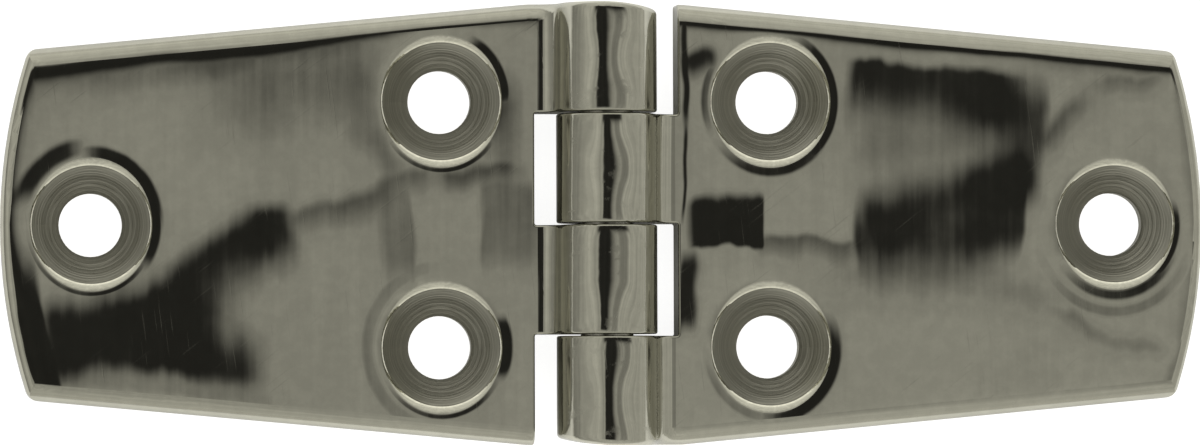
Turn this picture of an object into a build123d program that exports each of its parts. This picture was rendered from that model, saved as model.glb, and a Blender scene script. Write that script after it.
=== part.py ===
"""Polished cast flush hinge, lying open on its back: two tapered leaves and one pin.

X runs along the leaves, Y along the pin, Z up from the mounting face. Sizes are in mm.
"""
import math
import os

from OCP.BRepFilletAPI import BRepFilletAPI_MakeFillet
from build123d import *

# Whole hinge
OPEN_LENGTH = 103.0
STACK_LENGTH = 37.66
FOLD_GAP = 0.5

# Leaf plate
LEAF_THICKNESS = 3.95
SQUARE_LENGTH = 0.45
TAPER_ANGLE = 5.3
END_RADIUS = 47.5
CORNER_EXTRA = 0.3
SHOULDER_RADIUS = 6.0

# Knuckles
KNUCKLES_PER_LEAF = 2
BARREL_RADIUS = 4.3
KNUCKLE_GAP = 0.15
SWING_CLEARANCE = 1.85
NOTCH_RADIUS = 0.2
WEB_LEDGE = 0.05
BOW_START = 1.0
BOW_RADIUS = 22.0

# Edges rounded by polishing along the pin: most on the sides, least on the ends of the knuckles
SIDE_ROLL = 1.5
END_ROLL = 0.9
KNUCKLE_ROLL = 0.45
EDGE_BREAK = 0.2

# Screw holes, for 5 mm countersunk screws
HOLE_RADIUS = 2.7
SINK_RADIUS = 5.03
SINK_ANGLE = 90.0
RIM_DEPTH = 0.28
RIM_DRAG = 0.83
RIM_WASH = 0.2
RIM_CREASE = 0.05
RIM_STEPS = 3
SIDE_MARGIN = 0.29
PAIR_SETBACK = 2.52
END_SETBACK = 1.52

# Pin, driven into the left leaf and turning in the right one
PIN_RADIUS = 2.25
HEAD_FLARE = 0.4
HEAD_DEPTH = 0.5
HEAD_CROWN = 0.3
RUNNING_CLEARANCE = 0.05
DRIVEN_CLEARANCE = 0.0

# Metal left under the casting and ground off for a flat back
GRINDING_STOCK = 2.0

half_length = OPEN_LENGTH / 2
half_stack = STACK_LENGTH / 2
pin_height = LEAF_THICKNESS + FOLD_GAP / 2
leaf_start = BARREL_RADIUS + SWING_CLEARANCE
shoulder_x = leaf_start + SQUARE_LENGTH
knuckle_count = 2 * KNUCKLES_PER_LEAF
knuckle_length = (STACK_LENGTH - (knuckle_count - 1) * KNUCKLE_GAP) / knuckle_count
knuckle_pitch = knuckle_length + KNUCKLE_GAP
cast_thickness = LEAF_THICKNESS + GRINDING_STOCK
corner_radius = END_ROLL + CORNER_EXTRA
taper = math.tan(math.radians(TAPER_ANGLE))
rim_x = SINK_RADIUS + RIM_WASH
rim_y = SINK_RADIUS + RIM_DRAG
pair_x = leaf_start + EDGE_BREAK + PAIR_SETBACK + rim_x
pair_y = half_stack - (pair_x - shoulder_x) * taper - SIDE_ROLL - SIDE_MARGIN - rim_y
end_hole_x = half_length - END_ROLL - END_SETBACK - rim_x
screw_places = [(pair_x, pair_y), (pair_x, -pair_y), (end_hole_x, 0)]


def edges_at(shape, x=None, z=None):
    """Edges of a shape whose middle lies at a given x, a given z, or both."""
    found = shape.edges()
    if x is not None:
        found = [edge for edge in found if abs((edge @ 0.5).X - x) < 0.01]
    if z is not None:
        found = [edge for edge in found if abs((edge @ 0.5).Z - z) < 0.01]
    return found


def leaf_plan(far_x):
    """Plan of a leaf before its end is shaped: square beside the pin, then tapered."""
    far_y = half_stack - (far_x - shoulder_x) * taper
    side = [(leaf_start, half_stack), (shoulder_x, half_stack), (far_x, far_y)]
    other_side = [(x, -y) for x, y in reversed(side)]
    plan = make_face(Polyline(*side, *other_side, close=True))
    shoulders = [v for v in plan.vertices() if abs(v.X - shoulder_x) < 0.01]
    return fillet(shoulders, SHOULDER_RADIUS)


def bowed_plan():
    """Plan that the ends of the barrel are ground to: straight beside the leaf, bowed on the free side."""
    tip_x = -leaf_start
    bow = []
    for x in (tip_x, (tip_x + BOW_START) / 2, BOW_START):
        bow.append((x, half_stack - BOW_RADIUS + math.sqrt(BOW_RADIUS**2 - (BOW_START - x) ** 2)))
    other_bow = [(x, -y) for x, y in reversed(bow)]
    far_side = Polyline(bow[2], (OPEN_LENGTH, half_stack), (OPEN_LENGTH, -half_stack), other_bow[0])
    return make_face([ThreePointArc(*bow), far_side, ThreePointArc(*other_bow), Line(other_bow[2], bow[0])])


def rolled_sides(body):
    """The body with rolled side edges; the roll narrows up the web to the end of the barrel."""
    sides = sorted(edges_at(body, z=LEAF_THICKNESS), key=lambda edge: edge.length)[-2:]
    roller = BRepFilletAPI_MakeFillet(body.wrapped)
    for side in sides:
        roller.Add(side.wrapped)
    for chain in range(1, roller.NbContours() + 1):
        radius = SIDE_ROLL
        for place in range(1, roller.NbEdges(chain) + 1):
            edge_end = Edge(roller.Edge(chain, place)) @ 1
            end_radius = SIDE_ROLL if abs(edge_end.Z - LEAF_THICKNESS) < 0.01 else KNUCKLE_ROLL
            roller.SetRadius(radius, end_radius, chain, place)
            radius = end_radius
    return Compound(roller.Shape()).solid()


def end_waste():
    """Metal outside the bowed end of a leaf, its rounded corners and its rolled edge."""
    middle_x = half_length / 2
    far_x = half_length + END_RADIUS
    plan = leaf_plan(far_x) & Pos(half_length - END_RADIUS, 0) * Circle(END_RADIUS)
    corners = [v for v in plan.vertices() if v.X > middle_x]
    shape = Pos(0, 0, -GRINDING_STOCK) * extrude(fillet(corners, corner_radius), cast_thickness)
    end_edge = [edge for edge in edges_at(shape, z=LEAF_THICKNESS) if (edge @ 0.5).X > half_length - END_ROLL]
    shape = fillet(end_edge, END_ROLL)
    block = Box(END_RADIUS, 2 * STACK_LENGTH, 2 * cast_thickness, align=(Align.MIN, Align.CENTER, Align.CENTER))
    return Pos(middle_x, 0, 0) * block - shape


def knuckle_section():
    """Barrel and web seen along the pin; a hollow curve joins the barrel to the leaf."""
    hollow_x = leaf_start - NOTCH_RADIUS - WEB_LEDGE
    drop = pin_height - LEAF_THICKNESS
    hollow_radius = (hollow_x**2 + drop**2 - BARREL_RADIUS**2) / (2 * (BARREL_RADIUS + drop))
    hollow_z = LEAF_THICKNESS + hollow_radius
    lean = math.atan2(hollow_z - pin_height, hollow_x)
    touch = (BARREL_RADIUS * math.cos(lean), pin_height + BARREL_RADIUS * math.sin(lean))
    halfway = (3 * math.pi / 2 + math.pi + lean) / 2
    hollow = (hollow_x + hollow_radius * math.cos(halfway), hollow_z + hollow_radius * math.sin(halfway))
    foot = (hollow_x, LEAF_THICKNESS)
    low = (0, pin_height - BARREL_RADIUS)
    root_x = leaf_start + SQUARE_LENGTH / 5
    back = -GRINDING_STOCK
    barrel = ThreePointArc(touch, (-BARREL_RADIUS, pin_height), low)
    underside = Polyline(low, (0, back), (root_x, back), (root_x, LEAF_THICKNESS), foot)
    web = ThreePointArc(foot, hollow, touch)
    return make_face([barrel, underside, web])


def turned_on_pin(points):
    """Solid turned round the pin axis from radius and length points."""
    section = make_face(Polyline(*points, close=True))
    return Pos(0, 0, pin_height) * revolve(section, Axis.Y)


def pin():
    """Round pin with both ends peened into the outer knuckles."""
    head = PIN_RADIUS + HEAD_FLARE
    rim = half_stack - HEAD_CROWN
    neck = rim - HEAD_DEPTH
    half = [(PIN_RADIUS, neck), (head, rim), (0, half_stack)]
    other_half = [(x, -y) for x, y in reversed(half)]
    return turned_on_pin(half + other_half)


def pin_bore(clearance):
    """Cutter for the pin hole, opened out at both ends for the peened heads."""
    radius = PIN_RADIUS + clearance
    neck = half_stack - HEAD_CROWN - HEAD_DEPTH
    far = half_stack + HEAD_DEPTH
    mouth = radius + HEAD_FLARE * (far - neck) / HEAD_DEPTH
    half = [(radius, neck), (mouth, far), (0, far)]
    other_half = [(x, -y) for x, y in reversed(half)]
    return turned_on_pin(half + other_half)


def screw_hole():
    """Cutter for a countersunk hole whose mouth the polishing has drawn out along the pin."""
    sink_z = LEAF_THICKNESS - RIM_DEPTH
    land_z = sink_z - (SINK_RADIUS - HOLE_RADIUS) / math.tan(math.radians(SINK_ANGLE / 2))
    below = -LEAF_THICKNESS
    section = [(0, below), (HOLE_RADIUS, below), (HOLE_RADIUS, land_z), (SINK_RADIUS, sink_z), (0, sink_z)]
    sink = revolve(Plane.XZ * make_face(Polyline(*section, close=True)), Axis.Z)
    rings = [Pos(0, 0, sink_z) * Circle(SINK_RADIUS)]
    for step in range(1, RIM_STEPS + 1):
        out = step / RIM_STEPS
        rise = RIM_DEPTH * (1 + RIM_CREASE) * out * (2 - out)
        ring = Ellipse(SINK_RADIUS + out * RIM_WASH, SINK_RADIUS + out * RIM_DRAG)
        rings.append(Pos(0, 0, sink_z + rise) * ring)
    mouth = loft(rings)
    return sink + mouth


def leaf(bore_clearance):
    """The leaf on the right: second and fourth knuckles counted from the far end of the pin."""
    plate = extrude(leaf_plan(half_length + SIDE_ROLL), cast_thickness)
    body = Pos(0, 0, -GRINDING_STOCK) * plate
    knuckle = extrude(Plane.XZ * knuckle_section(), knuckle_length)
    for slot in range(1, knuckle_count, 2):
        body += Pos(0, half_stack - slot * knuckle_pitch, 0) * knuckle
    body &= Pos(0, 0, -GRINDING_STOCK) * extrude(bowed_plan(), GRINDING_STOCK + pin_height + leaf_start)
    body = body.clean()

    upright_z = (LEAF_THICKNESS - GRINDING_STOCK) / 2
    uprights = edges_at(body, x=leaf_start, z=upright_z)
    notches = [edge for edge in uprights if abs((edge @ 0.5).Y) < half_stack - KNUCKLE_GAP]
    body = fillet(notches, NOTCH_RADIUS)
    body = rolled_sides(body)
    for _ in range(KNUCKLES_PER_LEAF):
        inner_edge = edges_at(body, x=leaf_start, z=LEAF_THICKNESS)[0]
        body = fillet(inner_edge, EDGE_BREAK)
    body -= end_waste()
    body = split(body, Plane.XY, keep=Keep.TOP)

    body -= pin_bore(bore_clearance)
    for x, y in screw_places:
        body -= Pos(x, y, 0) * screw_hole()
    return body


os.makedirs("parts", exist_ok=True)
export_step(Rot(0, 0, 180) * leaf(DRIVEN_CLEARANCE), "parts/left_leaf.step")
export_step(leaf(RUNNING_CLEARANCE), "parts/right_leaf.step")
export_step(pin(), "parts/hinge_pin.step")
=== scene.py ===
"""Looks for a polished cast hinge on a plain stage.

The leaves are hand-polished steel with turned countersinks, and the pin has peened ends. Lengths inside the
shaders are in millimetres and follow the leaf they belong to.
"""
import math

import bmesh
import bpy
from bpy.props import FloatProperty, FloatVectorProperty, PointerProperty
from mathutils import Matrix, Vector


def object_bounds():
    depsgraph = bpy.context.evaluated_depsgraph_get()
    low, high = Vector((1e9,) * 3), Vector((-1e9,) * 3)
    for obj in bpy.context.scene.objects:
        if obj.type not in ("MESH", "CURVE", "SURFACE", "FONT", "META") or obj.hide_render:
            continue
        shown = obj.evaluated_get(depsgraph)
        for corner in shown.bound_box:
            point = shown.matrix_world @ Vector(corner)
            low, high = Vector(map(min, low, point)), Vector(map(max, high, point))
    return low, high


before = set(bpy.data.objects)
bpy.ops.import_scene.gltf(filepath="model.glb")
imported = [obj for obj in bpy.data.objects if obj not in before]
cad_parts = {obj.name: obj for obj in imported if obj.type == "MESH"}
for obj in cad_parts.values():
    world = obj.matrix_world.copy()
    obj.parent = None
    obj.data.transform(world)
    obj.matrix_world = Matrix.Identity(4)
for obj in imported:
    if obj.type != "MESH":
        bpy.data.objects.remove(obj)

bl_info = {
    "name": "Polished Hinge Finish",
    "version": (1, 0, 0),
    "blender": (4, 5, 0),
    "location": "3D View > Sidebar > Hinge",
    "description": "Gives a cast hinge its polished leaves, turned countersinks, peened pin and stage",
    "category": "Material",
}

CAD_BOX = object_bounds()
MM_PER_METRE = 1000.0

# The leaf as it was cast, in millimetres from the middle of the pin
HALF_LENGTH = CAD_BOX[1].x * MM_PER_METRE
HALF_STACK = CAD_BOX[1].y * MM_PER_METRE
LEAF_TOP = 3.95
SHOULDER_X = 6.6
TAPER = math.tan(math.radians(5.3))
SIDE_ROLL = 1.5
END_RADIUS = 47.5
END_ROLL = 0.9
PIN_HEIGHT = 4.2
KNUCKLE_GAP = 0.15
KNUCKLE_PITCH = (2 * HALF_STACK + KNUCKLE_GAP) / 4
SINK_RADIUS = 5.03
SINK_TOP = 3.67
RIM_X = 5.19
RIM_Y = 5.68
FAR_AWAY = 1000.0
SCREW_PLACES = ((14.1, 10.484), (14.1, -10.484), (43.85, 0.0))

# Hollows left by polishing: place, turn in degrees, half length and half width,
# softness of the left, right, lower and upper edges, depth
LEFT_HOLLOWS = (
    (-34.0, -3.9, 33.0, 6.4, 1.5, 2.0, 1.2, 2.2, 1.0, 1.0),
    (-28.4, -0.2, 18.0, 1.4, 1.6, 1.8, 0.7, 2.0, 0.7, 0.95),
    (-40.9, -9.4, 3.0, 6.4, 2.7, 0.9, 2.4, 1.2, 1.3, 1.05),
    (-35.4, -11.6, -6.0, 5.0, 1.3, 2.0, 1.6, 0.9, 1.8, 0.95),
    (-35.6, -8.0, 0.0, 2.0, 2.6, 2.0, 2.4, 2.0, 2.0, 0.8),
    (-37.5, -14.0, -5.0, 8.0, 0.6, 3.0, 2.5, 0.5, 0.8, 0.48),
    (-48.4, -9.6, 11.0, 0.95, 4.6, 0.3, 0.3, 0.6, 2.4, 1.05),
    (-22.8, 1.5, 13.0, 3.8, 0.6, 1.0, 1.0, 1.2, 0.5, 0.66),
    (-17.4, 3.4, 20.0, 2.2, 0.6, 1.0, 1.0, 1.1, 0.5, 0.64),
    (-11.0, 4.4, 4.0, 3.0, 0.55, 1.0, 1.0, 0.8, 0.4, 0.66),
    (-18.9, 6.0, 115.0, 2.2, 0.8, 1.0, 1.0, 0.8, 0.8, 0.55),
    (-20.4, 10.0, 12.0, 1.2, 3.2, 1.6, 0.8, 2.0, 2.0, 0.56),
    (-26.0, 11.8, 6.0, 6.4, 2.0, 3.0, 2.0, 2.4, 1.2, 0.52),
    (-28.0, 14.4, 5.3, 8.4, 0.6, 3.0, 2.5, 1.0, 0.4, 0.62),
    (-38.0, 13.0, 5.0, 8.0, 0.8, 2.5, 3.0, 1.2, 0.6, 0.5),
    (-17.9, -0.8, 0.0, 1.4, 3.4, 0.6, 0.2, 1.6, 0.6, 0.46),
    (-8.2, 0.3, 0.0, 2.3, 3.2, 0.2, 0.4, 1.2, 0.6, 0.48),
    (-8.4, 8.0, 0.0, 1.0, 3.0, 0.8, 0.6, 1.5, 1.8, 0.42),
)
RIGHT_HOLLOWS = (
    (28.0, 11.8, -6.0, 7.2, 1.5, 0.5, 1.6, 2.2, 0.4, 1.0),
    (33.0, 9.8, -4.0, 2.6, 2.0, 2.2, 1.2, 2.0, 1.2, 0.95),
    (36.0, 7.2, -8.0, 1.3, 4.0, 2.2, 0.5, 2.0, 2.0, 0.85),
    (29.4, 2.3, 17.0, 7.2, 1.6, 0.5, 0.8, 1.6, 1.6, 0.98),
    (27.2, -1.3, 0.0, 5.7, 1.9, 0.3, 2.4, 2.0, 1.6, 0.95),
    (33.4, 1.4, 0.0, 2.4, 3.2, 1.6, 0.3, 1.5, 1.6, 0.9),
    (10.5, 0.0, 0.0, 3.1, 1.95, 0.5, 0.12, 0.25, 0.5, 1.05),
    (17.5, -1.8, -2.0, 4.2, 0.5, 0.8, 0.8, 1.0, 0.3, 0.68),
    (27.0, -4.3, 0.0, 5.4, 1.0, 2.4, 2.4, 1.7, 1.2, 0.55),
    (7.0, -5.8, 0.0, 0.7, 2.8, 0.3, 0.4, 0.9, 0.9, 1.05),
    (7.9, 14.0, 22.0, 1.4, 0.6, 0.5, 0.5, 0.8, 0.4, 1.0),
    (7.6, 17.5, -2.0, 1.6, 0.4, 0.4, 0.8, 0.25, 0.25, 1.05),
    (6.5, 13.6, 0.0, 0.2, 4.0, 0.15, 0.15, 1.0, 1.0, 1.05),
    (6.45, 4.8, 0.0, 0.12, 3.6, 0.12, 0.12, 1.0, 1.0, 0.95),
    (39.4, 8.7, 50.0, 2.8, 0.55, 1.2, 1.2, 0.9, 0.5, 0.64),
    (45.3, 12.2, 4.0, 2.4, 0.35, 1.2, 1.2, 0.8, 0.4, 0.58),
    (42.0, 13.8, -5.3, 4.0, 0.4, 2.0, 2.0, 0.7, 0.3, 0.5),
    (27.5, 7.2, 6.0, 5.4, 1.8, 1.6, 2.4, 2.4, 2.4, 0.5),
    (41.2, -9.0, -30.0, 2.6, 0.3, 1.4, 1.4, 0.7, 0.5, 0.5),
    (46.0, -10.6, 3.0, 2.0, 0.3, 1.4, 1.4, 0.7, 0.5, 0.5),
    (35.0, -6.0, -6.0, 3.4, 0.7, 2.2, 2.2, 1.2, 1.2, 0.42),
)

# Hollows round the countersinks: screw place, direction and spread in degrees,
# distance from the rim, half width, depth
LEFT_ARCS = (
    (1, 30.0, 26.0, 0.25, 0.4, 1.1),
    (1, 265.0, 50.0, 0.2, 0.18, 0.95),
    (1, 190.0, 60.0, 1.1, 0.9, 0.5),
    (0, 0.0, 20.0, 0.4, 0.45, 1.1),
    (0, 265.0, 50.0, 0.2, 0.18, 0.85),
    (0, 180.0, 80.0, 1.1, 0.6, 0.46),
    (2, 48.0, 44.0, 0.4, 0.55, 1.1),
    (2, 5.0, 34.0, 0.35, 0.4, 1.0),
    (2, 258.0, 60.0, 0.2, 0.18, 0.95),
    (2, 130.0, 28.0, 0.85, 0.8, 1.1),
)
RIGHT_ARCS = (
    (0, 0.0, 54.0, 0.3, 0.32, 1.1),
    (0, -90.0, 46.0, 0.3, 0.4, 1.0),
    (0, 175.0, 26.0, 0.45, 0.35, 0.9),
    (1, -42.0, 52.0, 0.4, 0.5, 1.1),
    (1, 225.0, 40.0, 0.35, 0.4, 0.64),
    (2, -85.0, 50.0, 0.4, 0.4, 0.9),
    (2, -20.0, 30.0, 0.15, 0.3, 1.0),
    (2, -85.0, 64.0, 1.7, 0.45, 0.48),
)

# How hollows fade and join: reach of a soft edge beyond its line, power of the sum, deepest value
EDGE_REACH = 2.2
JOIN_POWER = 3.0
DEEPEST = 1.05
ARC_OUTER, ARC_INNER = 1.5, 0.2
WIDTH_INNER, WIDTH_OUTER = 0.4, 1.5

# How far the polish leans, in radians, and how quickly the lean falls off, per millimetre
HOLLOW_LEAN = math.radians(-7.0)
SWAY_START = math.radians(1.05)
SWAY_RATE = math.radians(0.0455)
RIM_LEAN, RIM_FALL = math.radians(3.0), 1.6
SIDE_LEAN = math.radians(8.0)
NEAR_END_FALL = 2.0
FAR_END_LEAN, FAR_END_FALL = math.radians(1.2), 0.4
KNUCKLE_LEAN = math.radians(1.0)
KNUCKLE_END_LEAN, KNUCKLE_END_POWER = math.radians(12.0), 9.0

# What differs between the leaves. Knuckle leans, far and near one, and the end lean are in degrees.
LEFT_FINISH = {
    "hollows": LEFT_HOLLOWS, "arcs": LEFT_ARCS, "knuckles": (0.0, -1.5),
    "near_fall": 1.6, "far_fall": 0.4, "far_lean": 2.2, "pin_share": 0.3, "end_lean": 6.0,
}
RIGHT_FINISH = {
    "hollows": RIGHT_HOLLOWS, "arcs": RIGHT_ARCS, "knuckles": (-6.0, -8.5),
    "near_fall": 3.0, "far_fall": 0.8, "far_lean": 1.4, "pin_share": 0.9, "end_lean": 2.0,
}

# Heights of the finest marks, in metres
HAIRLINE_HEIGHT = 0.0000002
SCRATCH_DEPTH = 0.0000006
GRINDING_HEIGHT = 0.000004
TURNING_HEIGHT = 0.000004
PEENING_HEIGHT = 0.00006

# Brightness of the tent from one horizon over the top to the other: along X, then along Y
TENT_SIDES = (
    (0.0, 0.25), (0.08, 0.31), (0.17, 0.42), (0.245, 0.53), (0.28, 0.50), (0.32, 0.40), (0.5, 0.34),
    (0.555, 0.34), (0.59, 0.24), (0.64, 0.25), (0.68, 0.48), (0.75, 0.45), (0.89, 0.43), (1.0, 0.50),
)
TENT_ENDS = (
    (0.0, 0.60), (0.09, 0.52), (0.18, 0.54), (0.256, 0.50), (0.333, 0.43), (0.5, 0.34),
    (0.594, 0.34), (0.667, 0.44), (0.744, 0.57), (0.82, 0.66), (0.911, 0.70), (1.0, 0.66),
)

# Dark opening and dark seam of the tent: where each starts, is full, fades and ends,
# in degrees from straight up
OPENING_ACROSS = (-27, -23, -6.5, 6)
OPENING_ALONG = (-12, -8, 24, 28)
SEAM_ACROSS = (-34, -26, 30, 44)
SEAM_ALONG = (4, 11, 22, 30)
OPENING_DARKNESS = 0.94
LOWEST_SLOPE = 0.02

# Floor and camera: metres, and degrees of turn about Z, X and Y
FLOOR_RADIUS = 5.0
FLOOR_DROP = 0.00005
FLOOR_SHADE_REACH = 0.012
POOL_FALL = 9.0
CAMERA_AIM = (-0.0001831, 0.0002354, 0.0)
CAMERA_TURN, CAMERA_PITCH, CAMERA_YAW = 0.1758, -1.3911, 5.4425
CAMERA_FRAME = 36.0
CAMERA_NEAR, CAMERA_FAR = 0.01, 20.0


class Wire:
    """A shader socket. Arithmetic on it adds Math nodes to its sheet."""

    def __init__(self, sheet, socket):
        self.sheet = sheet
        self.socket = socket

    def maths(self, operation, *values):
        return self.sheet.add("ShaderNodeMath", {"operation": operation}, dict(enumerate(values)))

    def exp(self):
        return self.maths("EXPONENT", self)

    def fraction(self):
        return self.maths("FRACT", self)

    def sign(self):
        return self.maths("SIGN", self)

    def least(self, other):
        return self.maths("MINIMUM", self, other)

    def most(self, other):
        return self.maths("MAXIMUM", self, other)

    def __add__(self, other):
        return self.maths("ADD", self, other)

    def __sub__(self, other):
        return self.maths("SUBTRACT", self, other)

    def __rsub__(self, other):
        return self.maths("SUBTRACT", other, self)

    def __mul__(self, other):
        return self.maths("MULTIPLY", self, other)

    def __truediv__(self, other):
        return self.maths("DIVIDE", self, other)

    def __rtruediv__(self, other):
        return self.maths("DIVIDE", other, self)

    def __pow__(self, other):
        return self.maths("POWER", self, other)

    def __neg__(self):
        return self.maths("MULTIPLY", self, -1.0)

    def __abs__(self):
        return self.maths("ABSOLUTE", self)

    __radd__ = __add__
    __rmul__ = __mul__


class Sheet:
    """A node tree that is filled from Python."""

    def __init__(self, tree):
        tree.nodes.clear()
        self.tree = tree

    def add(self, kind, settings, sockets, output=0):
        """Adds a node, its settings first, then its sockets, and gives one of its outputs."""
        node = self.tree.nodes.new(kind)
        for name, value in settings.items():
            if name == "stops":
                for place, _ in value[1:-1]:
                    node.color_ramp.elements.new(place)
                for element, (place, level) in zip(node.color_ramp.elements, value):
                    element.position = place
                    element.color = (level, level, level, 1.0)
            else:
                setattr(node, name, value)
        for key, value in sockets.items():
            if isinstance(value, Wire):
                self.tree.links.new(value.socket, node.inputs[key])
            else:
                node.inputs[key].default_value = value
        return Wire(self, node.outputs[output]) if node.outputs else None

    def vector(self, operation, *values, output=0):
        return self.add("ShaderNodeVectorMath", {"operation": operation}, dict(enumerate(values)), output)

    def scaled(self, vector, factor):
        return self.add("ShaderNodeVectorMath", {"operation": "SCALE"}, {0: vector, "Scale": factor})

    def length(self, vector):
        return self.vector("LENGTH", vector, output="Value")

    def parts(self, vector):
        first = self.add("ShaderNodeSeparateXYZ", {}, {0: vector})
        return [Wire(self, socket) for socket in first.socket.node.outputs]

    def joined(self, x, y, z):
        return self.add("ShaderNodeCombineXYZ", {}, {0: x, 1: y, 2: z})

    def smooth(self, value, low, high):
        """0 below low, 1 above high, eased between."""
        sockets = {"Value": value, "From Min": low, "From Max": high}
        return self.add("ShaderNodeMapRange", {"interpolation_type": "SMOOTHSTEP"}, sockets)

    def window(self, value, start, full, fading, end):
        """1 from full to fading, eased to 0 at start and end."""
        return self.smooth(value, start, full) * (1 - self.smooth(value, fading, end))

    def noise(self, place, scale, detail=2.0, roughness=0.5, output="Fac"):
        sockets = {"Vector": place, "Scale": scale, "Detail": detail, "Roughness": roughness}
        return self.add("ShaderNodeTexNoise", {}, sockets, output)

    def mixed(self, factor, colour_a, colour_b):
        sockets = {0: factor, 6: colour_a, 7: colour_b}
        return self.add("ShaderNodeMix", {"data_type": "RGBA"}, sockets, 2)


def rgba(colour, factor=1.0):
    return (*(channel * factor for channel in colour), 1.0)


def new_material(name):
    material = bpy.data.materials.new(name)
    material.use_nodes = True
    return material, Sheet(material.node_tree)


def surface(sheet, sockets):
    """A Principled shader as the material's surface."""
    shader = sheet.add("ShaderNodeBsdfPrincipled", {}, sockets)
    sheet.add("ShaderNodeOutputMaterial", {}, {"Surface": shader})


def dress(node_name, material):
    """Puts a material on a CAD node and evens out its normals beside the rolled edges."""
    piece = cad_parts[node_name]
    piece.data.materials.clear()
    piece.data.materials.append(material)
    even = piece.modifiers.new("even_normals", "WEIGHTED_NORMAL")
    even.mode = "FACE_AREA"
    even.weight = 100
    even.keep_sharp = True


class HingeSteelSettings(bpy.types.PropertyGroup):
    """Sizes and colours of the steel."""

    steel_colour: FloatVectorProperty(
        name="Steel", description="Colour of the polished steel",
        subtype="COLOR", size=3, min=0.0, max=1.0, default=(0.45, 0.442, 0.375))
    sink_colour: FloatVectorProperty(
        name="Countersink", description="Colour of the turned countersinks",
        subtype="COLOR", size=3, min=0.0, max=1.0, default=(0.42, 0.412, 0.355))
    pin_colour: FloatVectorProperty(
        name="Pin", description="Colour of the peened pin ends",
        subtype="COLOR", size=3, min=0.0, max=1.0, default=(0.45, 0.442, 0.39))
    polish_roughness: FloatProperty(
        name="Polish roughness", description="Roughness of the polished faces",
        subtype="FACTOR", min=0.0, max=1.0, default=0.06)
    waviness: FloatProperty(
        name="Waviness", description="Largest tilt of the hand-polished faces",
        subtype="ANGLE", min=0.0, max=0.2, default=math.radians(1.6))
    ring_pitch: FloatProperty(
        name="Turning pitch", description="Distance between the turned rings of a countersink",
        unit="LENGTH", min=0.00005, max=0.001, default=0.0003)


class HingeStageSettings(bpy.types.PropertyGroup):
    """Floor, light and camera."""

    floor_colour: FloatVectorProperty(
        name="Floor", description="Colour of the plain floor",
        subtype="COLOR", size=3, min=0.0, max=1.0, default=(0.95, 0.95, 0.95))
    floor_glow: FloatProperty(
        name="Floor glow", description="Part of the floor's white that no shadow dims",
        subtype="FACTOR", min=0.0, max=1.0, default=0.88)
    floor_pool: FloatProperty(
        name="Floor pool", description="Brightness of the pool of light round the hinge that the steel shows",
        subtype="FACTOR", min=0.0, max=1.0, default=1.0)
    tent_colour: FloatVectorProperty(
        name="Tent", description="Colour of the light tent",
        subtype="COLOR", size=3, min=0.0, max=1.0, default=(1.0, 0.99, 0.92))
    tent_level: FloatProperty(
        name="Tent level", description="Brightness of the light tent",
        min=0.0, max=4.0, default=1.33)
    lens: FloatProperty(
        name="Lens", description="Focal length of the camera on a 36 mm frame",
        unit="CAMERA", min=10.0, max=1000.0, default=216.8)
    distance: FloatProperty(
        name="Distance", description="From the camera to the mounting plane",
        unit="LENGTH", min=0.1, max=5.0, default=0.62007)


def eased_band(sheet, value, half, low_soft, high_soft):
    """1 between -half and half, with a soft edge at each end."""
    low = (-half - EDGE_REACH * low_soft, -half + low_soft)
    high = (half - high_soft, half + EDGE_REACH * high_soft)
    return sheet.window(value, *low, *high)


def polish_hollows(sheet, place, hollows):
    """Depth of the broad hollows that polishing has left, from 0 to about 1."""
    depth = 0.0
    for x, y, angle, half_x, half_y, left, right, lower, upper, amount in hollows:
        sockets = {"Vector": place, "Location": (x, y, 0.0), "Rotation": (0.0, 0.0, math.radians(angle))}
        u, v, _ = sheet.parts(sheet.add("ShaderNodeMapping", {"vector_type": "TEXTURE"}, sockets))
        along = eased_band(sheet, u, half_x, left, right)
        across = eased_band(sheet, v, half_y, lower, upper)
        here = along * across * amount
        depth = here ** JOIN_POWER + depth
    return (depth ** (1 / JOIN_POWER)).least(DEEPEST)


def rim_hollows(sheet, ways, turn, arcs):
    """Depth of the hollows that polishing has left round the countersinks, from 0 to about 1."""
    depth = 0.0
    for screw, angle, spread, distance, half_width, amount in arcs:
        outward, room = ways[screw]
        middle = (turn * math.cos(math.radians(angle)), turn * math.sin(math.radians(angle)), 0.0)
        facing = sheet.vector("DOT_PRODUCT", outward, middle, output="Value")
        outer = math.cos(math.radians(spread * ARC_OUTER))
        inner = math.cos(math.radians(spread * ARC_INNER))
        near = sheet.smooth(facing, outer, inner)
        off = abs(room - distance)
        here = (1 - sheet.smooth(off, half_width * WIDTH_INNER, half_width * WIDTH_OUTER)) * near * amount
        depth = here.most(depth)
    return depth


def noise_tilt(sheet, noise, angle):
    """A noise colour as a tilt to every side."""
    return sheet.scaled(sheet.vector("SUBTRACT", noise, (0.5, 0.5, 0.5)), angle)


def hand_waves(sheet, place, close, barrel, steel):
    """Tilt of the waves that polishing by hand leaves everywhere, stronger on the barrel."""
    broad_place = sheet.vector("MULTIPLY", place, (1.0, 0.6, 1.0))
    broad = sheet.noise(broad_place, scale=0.055, detail=1.5, roughness=0.45, output="Color")
    peel = sheet.noise(place, scale=0.9, detail=1.0, output="Color")
    tilt = noise_tilt(sheet, broad, steel.waviness * 1.5)
    tilt = sheet.vector("ADD", tilt, noise_tilt(sheet, close, (1 + barrel * 1.2) * steel.waviness))
    return sheet.vector("ADD", tilt, noise_tilt(sheet, peel, (1 + barrel * 3.0) * (steel.waviness * 0.25)))


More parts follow.
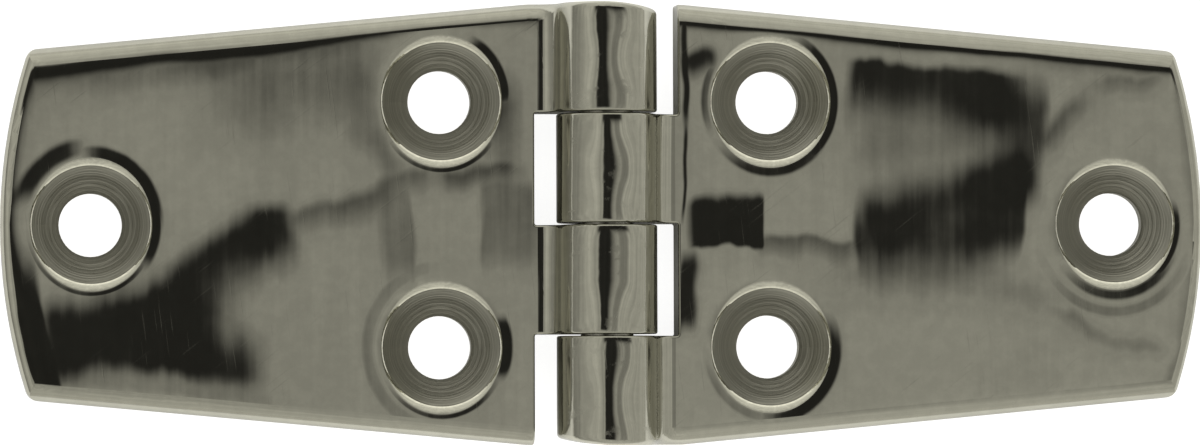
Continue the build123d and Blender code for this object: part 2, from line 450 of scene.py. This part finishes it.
def screw_ways(sheet, own):
    """For each countersink: the way out from its middle, and the distance from its oval rim."""
    ways = []
    for centre_x, centre_y in SCREW_PLACES:
        offset = sheet.vector("SUBTRACT", own, (centre_x, centre_y, 0.0))
        offset = sheet.vector("MULTIPLY", offset, (1.0, RIM_X / RIM_Y, 0.0))
        outward = sheet.vector("NORMALIZE", offset)
        ways.append((outward, sheet.length(offset) - RIM_X))
    return ways


def worn_edges(sheet, place, own, turn, top, ways, finish):
    """Tilt towards the rims, the sides and the end, where polishing wears the face down."""
    pillow = (0.0, 0.0, 0.0)
    for outward, room in ways:
        dish = (room.most(0.0) * -RIM_FALL).exp() * RIM_LEAN
        pillow = sheet.vector("ADD", sheet.scaled(outward, -dish * top), pillow)

    x, y, _ = sheet.parts(own)
    side_room = ((HALF_STACK + SHOULDER_X * TAPER - SIDE_ROLL) - x * TAPER - abs(y)).most(0.0)
    near_lean = (side_room * -finish["near_fall"]).exp() * SIDE_LEAN
    far_lean = (side_room * -finish["far_fall"]).exp() * math.radians(finish["far_lean"])
    side_lean = near_lean + far_lean

    from_end = sheet.length(sheet.vector("SUBTRACT", own, (HALF_LENGTH - END_RADIUS, 0.0, LEAF_TOP)))
    end_room = ((END_RADIUS - END_ROLL) - from_end).most(0.0)
    near_end = (end_room * -NEAR_END_FALL).exp() * math.radians(finish["end_lean"])
    end_lean = near_end + (end_room * -FAR_END_FALL).exp() * FAR_END_LEAN

    upper = sheet.parts(place)[1].sign() * 0.35 + 0.65
    stretch = sheet.joined(x * 0.09, y.sign() * 7.0 + turn * 3.0, 0.0)
    uneven = (sheet.noise(stretch, scale=1.0, detail=1.0) * 1.6 + 0.2) * upper
    pin_share = finish["pin_share"]
    uneven = uneven * (pin_share + sheet.smooth(x, 14.0, 36.0) * (1 - pin_share))
    sides = sheet.joined(end_lean * top, side_lean * uneven * y.sign() * top, 0.0)
    return sheet.vector("MULTIPLY", sheet.vector("ADD", pillow, sides), (turn, turn, 1.0))


def leaf_tilt(sheet, place, turn, top, barrel, steel, finish):
    """How far the polishing has tilted the surface, as a vector added to its normal."""
    close_place = sheet.vector("MULTIPLY", place, (1.0, 0.5, 1.0))
    close = sheet.noise(close_place, scale=0.22, output="Color")
    streaks_place = sheet.vector("MULTIPLY", place, (1.0, 0.05, 1.0))
    streaks = sheet.noise(streaks_place, scale=1.3, detail=3.0, roughness=0.55)
    drag = sheet.noise(sheet.vector("MULTIPLY", place, (1.0, 0.1, 1.0)), scale=0.7, detail=1.0)
    own = sheet.vector("MULTIPLY", place, (turn, turn, 1.0))
    ways = screw_ways(sheet, own)
    tilt = hand_waves(sheet, place, close, barrel, steel)
    tilt = sheet.vector("ADD", tilt, worn_edges(sheet, place, own, turn, top, ways, finish))

    warped = sheet.vector("ADD", place, noise_tilt(sheet, close, 2.2))
    warped = sheet.vector("ADD", warped, sheet.joined(0.0, (drag - 0.5) * 0.8, 0.0))
    depth = polish_hollows(sheet, warped, finish["hollows"])
    depth = depth.most(rim_hollows(sheet, ways, turn, finish["arcs"]))
    plan_x, plan_y, _ = sheet.parts(place)
    sway = SWAY_START - plan_x * SWAY_RATE
    grain = (streaks - 0.5) * (steel.waviness * 1.3)
    across = (depth * HOLLOW_LEAN + sway + grain) * top

    far_knuckle, near_knuckle = finish["knuckles"]
    knuckle = near_knuckle + sheet.smooth(plan_y, -0.2, 0.2) * (far_knuckle - near_knuckle)
    crest = (1 - sheet.smooth(abs(plan_x), 1.2, 2.6)) * barrel
    narrowing = sheet.noise(sheet.joined(0.0, plan_y * 0.16, turn), scale=1.0, detail=0.0)
    pinch = sheet.smooth(narrowing, 0.35, 0.7) * 10.0 - 3.0
    across = across + (knuckle + (plan_x + 0.6) * pinch) * crest * KNUCKLE_LEAN
    knuckle_end = ((plan_y + HALF_STACK + KNUCKLE_GAP / 2) / KNUCKLE_PITCH).fraction() * 2 - 1
    end_fall = knuckle_end ** KNUCKLE_END_POWER * barrel * KNUCKLE_END_LEAN
    return sheet.vector("ADD", tilt, sheet.joined(across, end_fall, 0.0))


def turned_rings(sheet, place, turn):
    """Distance to the nearest screw hole, a mask of the countersinks and the way out from their middles."""
    distance = FAR_AWAY
    outward = (0.0, 0.0, 0.0)
    inside = 0.0
    for centre_x, centre_y in SCREW_PLACES:
        offset = sheet.vector("SUBTRACT", place, (centre_x * turn, centre_y * turn, 0.0))
        offset = sheet.vector("MULTIPLY", offset, (1.0, 1.0, 0.0))
        away = sheet.length(offset)
        mask = 1 - sheet.smooth(away, SINK_RADIUS - 0.02, SINK_RADIUS + 0.02)
        outward = sheet.vector("ADD", sheet.scaled(sheet.vector("NORMALIZE", offset), mask), outward)
        distance = away.least(distance)
        inside = mask + inside
    return distance, inside, outward


def fine_scratches(sheet, place, angle):
    """Sparse hair scratches that run one way, from 0 to 1."""
    sockets = {"Vector": place, "Rotation": (0.0, 0.0, math.radians(angle)), "Scale": (9.0, 0.22, 1.0)}
    line_place = sheet.add("ShaderNodeMapping", {"vector_type": "TEXTURE"}, sockets)
    lines = sheet.noise(line_place, scale=1.0, roughness=0.6)
    patches = sheet.noise(place, scale=0.16)
    return sheet.smooth(lines + patches * 0.3, 0.82, 0.9)


def steel_colours(sheet, place, hole_distance, in_sink, fine_rings, back, steel):
    """Colour of a leaf: slightly grimy polish, rims brightened as a painted highlight, and turned
    countersinks.
    """
    height = sheet.parts(place)[2]
    grime = sheet.smooth(sheet.noise(place, scale=0.8, detail=5.0, roughness=0.65), 0.35, 0.7)
    polish_tone = sheet.mixed(grime, rgba(steel.steel_colour, 0.95), rgba(steel.steel_colour, 1.03))
    # The rims round the holes are lightened as a painted highlight, up to twice the steel colour at the lip.
    near_rim = 1 - sheet.smooth(hole_distance, RIM_Y - 0.1, RIM_Y + 0.05)
    below_face = 1 - sheet.smooth(height, LEAF_TOP - 0.06, LEAF_TOP - 0.01)
    painted_rim_highlight_mask = near_rim * below_face * (1 - back)
    lip_highlight_share = 1 - sheet.smooth(hole_distance, SINK_RADIUS + 0.05, SINK_RADIUS + 0.2)
    painted_rim_highlight_tone = sheet.mixed(lip_highlight_share, rgba(steel.steel_colour, 1.35), rgba(steel.steel_colour, 2.0))
    polish_and_rim_highlight_tone = sheet.mixed(painted_rim_highlight_mask, polish_tone, painted_rim_highlight_tone)
    ring_share = sheet.smooth(fine_rings, 0.3, 0.7)
    sink_tone = sheet.mixed(ring_share, rgba(steel.sink_colour, 0.92), rgba(steel.sink_colour, 1.12))
    return sheet.mixed(in_sink, polish_and_rim_highlight_tone, sink_tone)


def leaf_steel(name, turn, finish, steel):
    """Polished steel of one leaf, with turned countersinks; turn is -1 for the leaf on the left."""
    material, sheet = new_material(name)
    coords = sheet.add("ShaderNodeTexCoord", {}, {}, "Object")
    place = sheet.scaled(coords, MM_PER_METRE)
    z = sheet.parts(place)[2]
    geometry = sheet.add("ShaderNodeNewGeometry", {}, {}, "Normal")
    to_leaf = {"vector_type": "NORMAL", "convert_from": "WORLD", "convert_to": "OBJECT"}
    to_world = {"vector_type": "NORMAL", "convert_from": "OBJECT", "convert_to": "WORLD"}
    normal = sheet.add("ShaderNodeVectorTransform", to_leaf, {0: geometry})
    barrel = sheet.smooth(z, LEAF_TOP + 0.1, LEAF_TOP + 0.4)
    up = sheet.parts(normal)[2]
    top = sheet.smooth(up, 0.9, 0.99) * (1 - barrel)
    back = 1 - sheet.smooth(up, -0.9, -0.6)

    hole_distance, near_hole, outward = turned_rings(sheet, place, turn)
    in_sink = near_hole * (1 - sheet.smooth(z, SINK_TOP - 0.01, SINK_TOP + 0.03)) * (1 - back)
    tilt = sheet.scaled(leaf_tilt(sheet, place, turn, top, barrel, steel, finish), 1 - in_sink)

    around = sheet.joined(hole_distance, sheet.noise(place, scale=0.4, detail=1.0) * 0.12, 0.0)
    ring_pitch = steel.ring_pitch * MM_PER_METRE
    coarse_rings = sheet.noise(around, scale=1.1 / ring_pitch, detail=1.0)
    fine_rings = sheet.noise(around, scale=3.2 / ring_pitch, detail=1.0, roughness=0.6)
    cut = (coarse_rings - 0.5) * 0.2 + (fine_rings - 0.5) * 0.45
    tilt = sheet.vector("ADD", tilt, sheet.scaled(outward, cut * in_sink))
    tilted = sheet.add("ShaderNodeVectorTransform", to_world, {0: sheet.vector("ADD", normal, tilt)})
    tilted = sheet.vector("NORMALIZE", tilted)

    hairline_place = sheet.vector("MULTIPLY", place, (1.0, 0.02, 1.0))
    hairlines = sheet.noise(hairline_place, scale=9.0, roughness=0.6)
    scratches = fine_scratches(sheet, place, 38.0).most(fine_scratches(sheet, place, 97.0))
    ground_place = sheet.vector("MULTIPLY", place, (0.03, 1.0, 1.0))
    ground = sheet.noise(ground_place, scale=5.0, detail=3.0, roughness=0.6) * back
    marks = hairlines * HAIRLINE_HEIGHT - scratches * SCRATCH_DEPTH
    height = marks * (1 - in_sink) + ground * GRINDING_HEIGHT
    bump_sockets = {"Strength": 1.0, "Distance": 1.0, "Height": height, "Normal": tilted}
    bump = sheet.add("ShaderNodeBump", {}, bump_sockets)

    mottle = sheet.noise(place, scale=0.35, detail=4.0, roughness=0.6)
    smudge_place = sheet.vector("MULTIPLY", place, (1.0, 1.3, 0.3))
    smudge_noise = sheet.noise(smudge_place, scale=0.6, detail=4.0, roughness=0.6)
    smudges = sheet.smooth(smudge_noise, 0.58, 0.66) * barrel
    clean = steel.polish_roughness * (0.6 + mottle * 0.8)
    polish = clean + scratches * 0.1 + smudges * 0.16 + ground * 0.5
    roughness = polish + in_sink * (0.24 + fine_rings * 0.16 - polish)
    colour = steel_colours(sheet, place, hole_distance, in_sink, fine_rings, back, steel)
    surface(sheet, {"Base Color": colour, "Metallic": 1.0, "Roughness": roughness, "Normal": bump})
    return material


class HINGE_OT_polish_leaves(bpy.types.Operator):
    """Give both cast leaves their polish and their turned countersinks"""

    bl_idname = "hinge.polish_leaves"
    bl_label = "Polish Leaves"

    def execute(self, context):
        steel = context.scene.hinge_steel
        dress("left_leaf", leaf_steel("polished_steel_left", -1.0, LEFT_FINISH, steel))
        dress("right_leaf", leaf_steel("polished_steel_right", 1.0, RIGHT_FINISH, steel))
        return {"FINISHED"}


class HINGE_OT_finish_pin(bpy.types.Operator):
    """Give the pin its satin shank and hammered ends"""

    bl_idname = "hinge.finish_pin"
    bl_label = "Finish Pin"

    def execute(self, context):
        steel = context.scene.hinge_steel
        material, sheet = new_material("pin_steel")
        coords = sheet.add("ShaderNodeTexCoord", {}, {}, "Object")
        place = sheet.vector("SUBTRACT", sheet.scaled(coords, MM_PER_METRE), (0.0, 0.0, PIN_HEIGHT))
        across = sheet.length(sheet.vector("MULTIPLY", place, (1.0, 0.0, 1.0)))
        turned = sheet.noise(sheet.joined(across, 0.0, 0.0), scale=6.0, detail=3.0, roughness=0.6)
        dent_sockets = {"Vector": place, "Scale": 1.1, "Smoothness": 0.6}
        dents = sheet.add("ShaderNodeTexVoronoi", {"feature": "SMOOTH_F1"}, dent_sockets)
        height = turned * TURNING_HEIGHT + dents * PEENING_HEIGHT
        bump = sheet.add("ShaderNodeBump", {}, {"Strength": 1.0, "Distance": 1.0, "Height": height})
        worn = sheet.noise(place, scale=1.5, detail=4.0, roughness=0.6)
        colour = sheet.mixed(worn, rgba(steel.pin_colour, 0.8), rgba(steel.pin_colour, 1.1))
        roughness = 0.22 + worn * 0.2
        surface(sheet, {"Base Color": colour, "Metallic": 1.0, "Roughness": roughness, "Normal": bump})
        dress("hinge_pin", material)
        return {"FINISHED"}


class HINGE_OT_set_stage(bpy.types.Operator):
    """Lay the pale floor, put up the light tent and stand the camera over the hinge"""

    bl_idname = "hinge.set_stage"
    bl_label = "Set Stage"

    def execute(self, context):
        stage = context.scene.hinge_stage
        self.lay_floor(stage)
        self.raise_tent(context.scene, stage)
        self.stand_camera(context.scene, stage)
        context.scene.view_settings.view_transform = "Standard"
        return {"FINISHED"}

    def lay_floor(self, stage):
        """A white floor; steel shows only the pool of light round the hinge in it, a painted glow that
        ambient occlusion dims near the hinge as painted contact shade.
        """
        mesh = bpy.data.meshes.new("floor")
        shape = bmesh.new()
        bmesh.ops.create_circle(shape, cap_ends=True, segments=64, radius=FLOOR_RADIUS)
        shape.to_mesh(mesh)
        shape.free()
        floor = bpy.data.objects.new("floor", mesh)
        floor.location.z = -FLOOR_DROP
        bpy.context.scene.collection.objects.link(floor)

        material, sheet = new_material("pale_floor")
        rays = sheet.add("ShaderNodeLightPath", {}, {}).socket.node.outputs
        camera = Wire(sheet, rays["Is Camera Ray"])
        glossy = Wire(sheet, rays["Is Glossy Ray"])
        through = Wire(sheet, rays["Is Transmission Ray"])
        near = sheet.add("ShaderNodeAmbientOcclusion", {"samples": 8}, {"Distance": FLOOR_SHADE_REACH}, "AO")
        spot = sheet.add("ShaderNodeNewGeometry", {}, {}, "Position")
        # Painted pool of light: the floor glows for reflected rays only, fading with distance and darkened
        # next to the hinge as painted contact shade.
        pool = (sheet.length(spot) * -POOL_FALL).exp() * near * near * stage.floor_pool
        lit = (camera * stage.floor_glow).most(glossy.most(through) * pool)
        glow = sheet.mixed(lit, (0.0, 0.0, 0.0, 1.0), (1.0, 1.0, 1.0, 1.0))
        surface(sheet, {
            "Base Color": rgba(stage.floor_colour), "Roughness": 1.0, "Specular IOR Level": 0.0,
            "Emission Color": glow, "Emission Strength": 1.0,
        })
        mesh.materials.append(material)

    def raise_tent(self, scene, stage):
        """A light tent with soft folds, one dark opening and one dark seam."""
        world = bpy.data.worlds.new("light_tent")
        world.use_nodes = True
        scene.world = world
        sheet = Sheet(world.node_tree)
        way = sheet.add("ShaderNodeTexCoord", {}, {}, "Generated")
        x, y, z = sheet.parts(way)
        up = z.most(LOWEST_SLOPE)
        across = x.maths("ARCTAN2", x, up) * (180 / math.pi)
        along = y.maths("ARCTAN2", y, up) * (180 / math.pi)
        lean = z.maths("ARCCOSINE", z) / math.pi
        end_share = y * y / (x * x + y * y + 0.000001)
        side = sheet.add("ShaderNodeValToRGB", {"stops": TENT_SIDES}, {0: lean * x.sign() + 0.5})
        end = sheet.add("ShaderNodeValToRGB", {"stops": TENT_ENDS}, {0: lean * y.sign() + 0.5})
        folds = sheet.noise(sheet.joined(across * 0.17, along * 0.05, 0.0), scale=1.0)
        opening = sheet.window(across, *OPENING_ACROSS) * sheet.window(along, *OPENING_ALONG)
        seam = sheet.window(along, *SEAM_ALONG) * sheet.window(across, *SEAM_ACROSS)
        dark = 1 - opening.most(seam) * OPENING_DARKNESS
        level = sheet.mixed(end_share, side, end) * dark * (0.6 + folds * 0.8) * stage.tent_level
        glow = sheet.scaled(tuple(stage.tent_colour), level)
        light = sheet.add("ShaderNodeBackground", {}, {"Color": glow, "Strength": 1.0})
        sheet.add("ShaderNodeOutputWorld", {}, {"Surface": light})

    def stand_camera(self, scene, stage):
        """A long lens almost straight above the hinge."""
        turn = Matrix.Rotation(math.radians(CAMERA_TURN), 3, "Z")
        pitch = Matrix.Rotation(math.radians(CAMERA_PITCH), 3, "X")
        yaw = Matrix.Rotation(math.radians(CAMERA_YAW), 3, "Y")
        facing = (turn @ pitch @ yaw).transposed()
        data = bpy.data.cameras.new("camera")
        data.lens = stage.lens
        data.sensor_width = CAMERA_FRAME
        data.clip_start = CAMERA_NEAR
        data.clip_end = CAMERA_FAR
        camera = bpy.data.objects.new("camera", data)
        stand = Vector(CAMERA_AIM) + facing @ Vector((0.0, 0.0, stage.distance))
        camera.matrix_world = Matrix.Translation(stand) @ facing.to_4x4()
        scene.collection.objects.link(camera)
        scene.camera = camera


class HINGE_PT_finish(bpy.types.Panel):
    """Settings and steps of the hinge's finish"""

    bl_idname = "HINGE_PT_finish"
    bl_label = "Hinge"
    bl_space_type = "VIEW_3D"
    bl_region_type = "UI"
    bl_category = "Hinge"

    def draw(self, context):
        for settings in (context.scene.hinge_steel, context.scene.hinge_stage):
            for name in settings.__annotations__:
                self.layout.prop(settings, name)
        for operator in OPERATORS:
            self.layout.operator(operator.bl_idname)


OPERATORS = (HINGE_OT_polish_leaves, HINGE_OT_finish_pin, HINGE_OT_set_stage)
CLASSES = (HingeSteelSettings, HingeStageSettings, *OPERATORS, HINGE_PT_finish)


def register():
    for cls in CLASSES:
        bpy.utils.register_class(cls)
    bpy.types.Scene.hinge_steel = PointerProperty(type=HingeSteelSettings)
    bpy.types.Scene.hinge_stage = PointerProperty(type=HingeStageSettings)


def unregister():
    del bpy.types.Scene.hinge_stage
    del bpy.types.Scene.hinge_steel
    for cls in reversed(CLASSES):
        bpy.utils.unregister_class(cls)


def main():
    register()
    bpy.ops.hinge.polish_leaves()
    bpy.ops.hinge.finish_pin()
    bpy.ops.hinge.set_stage()


if __name__ == "__main__":
    main()
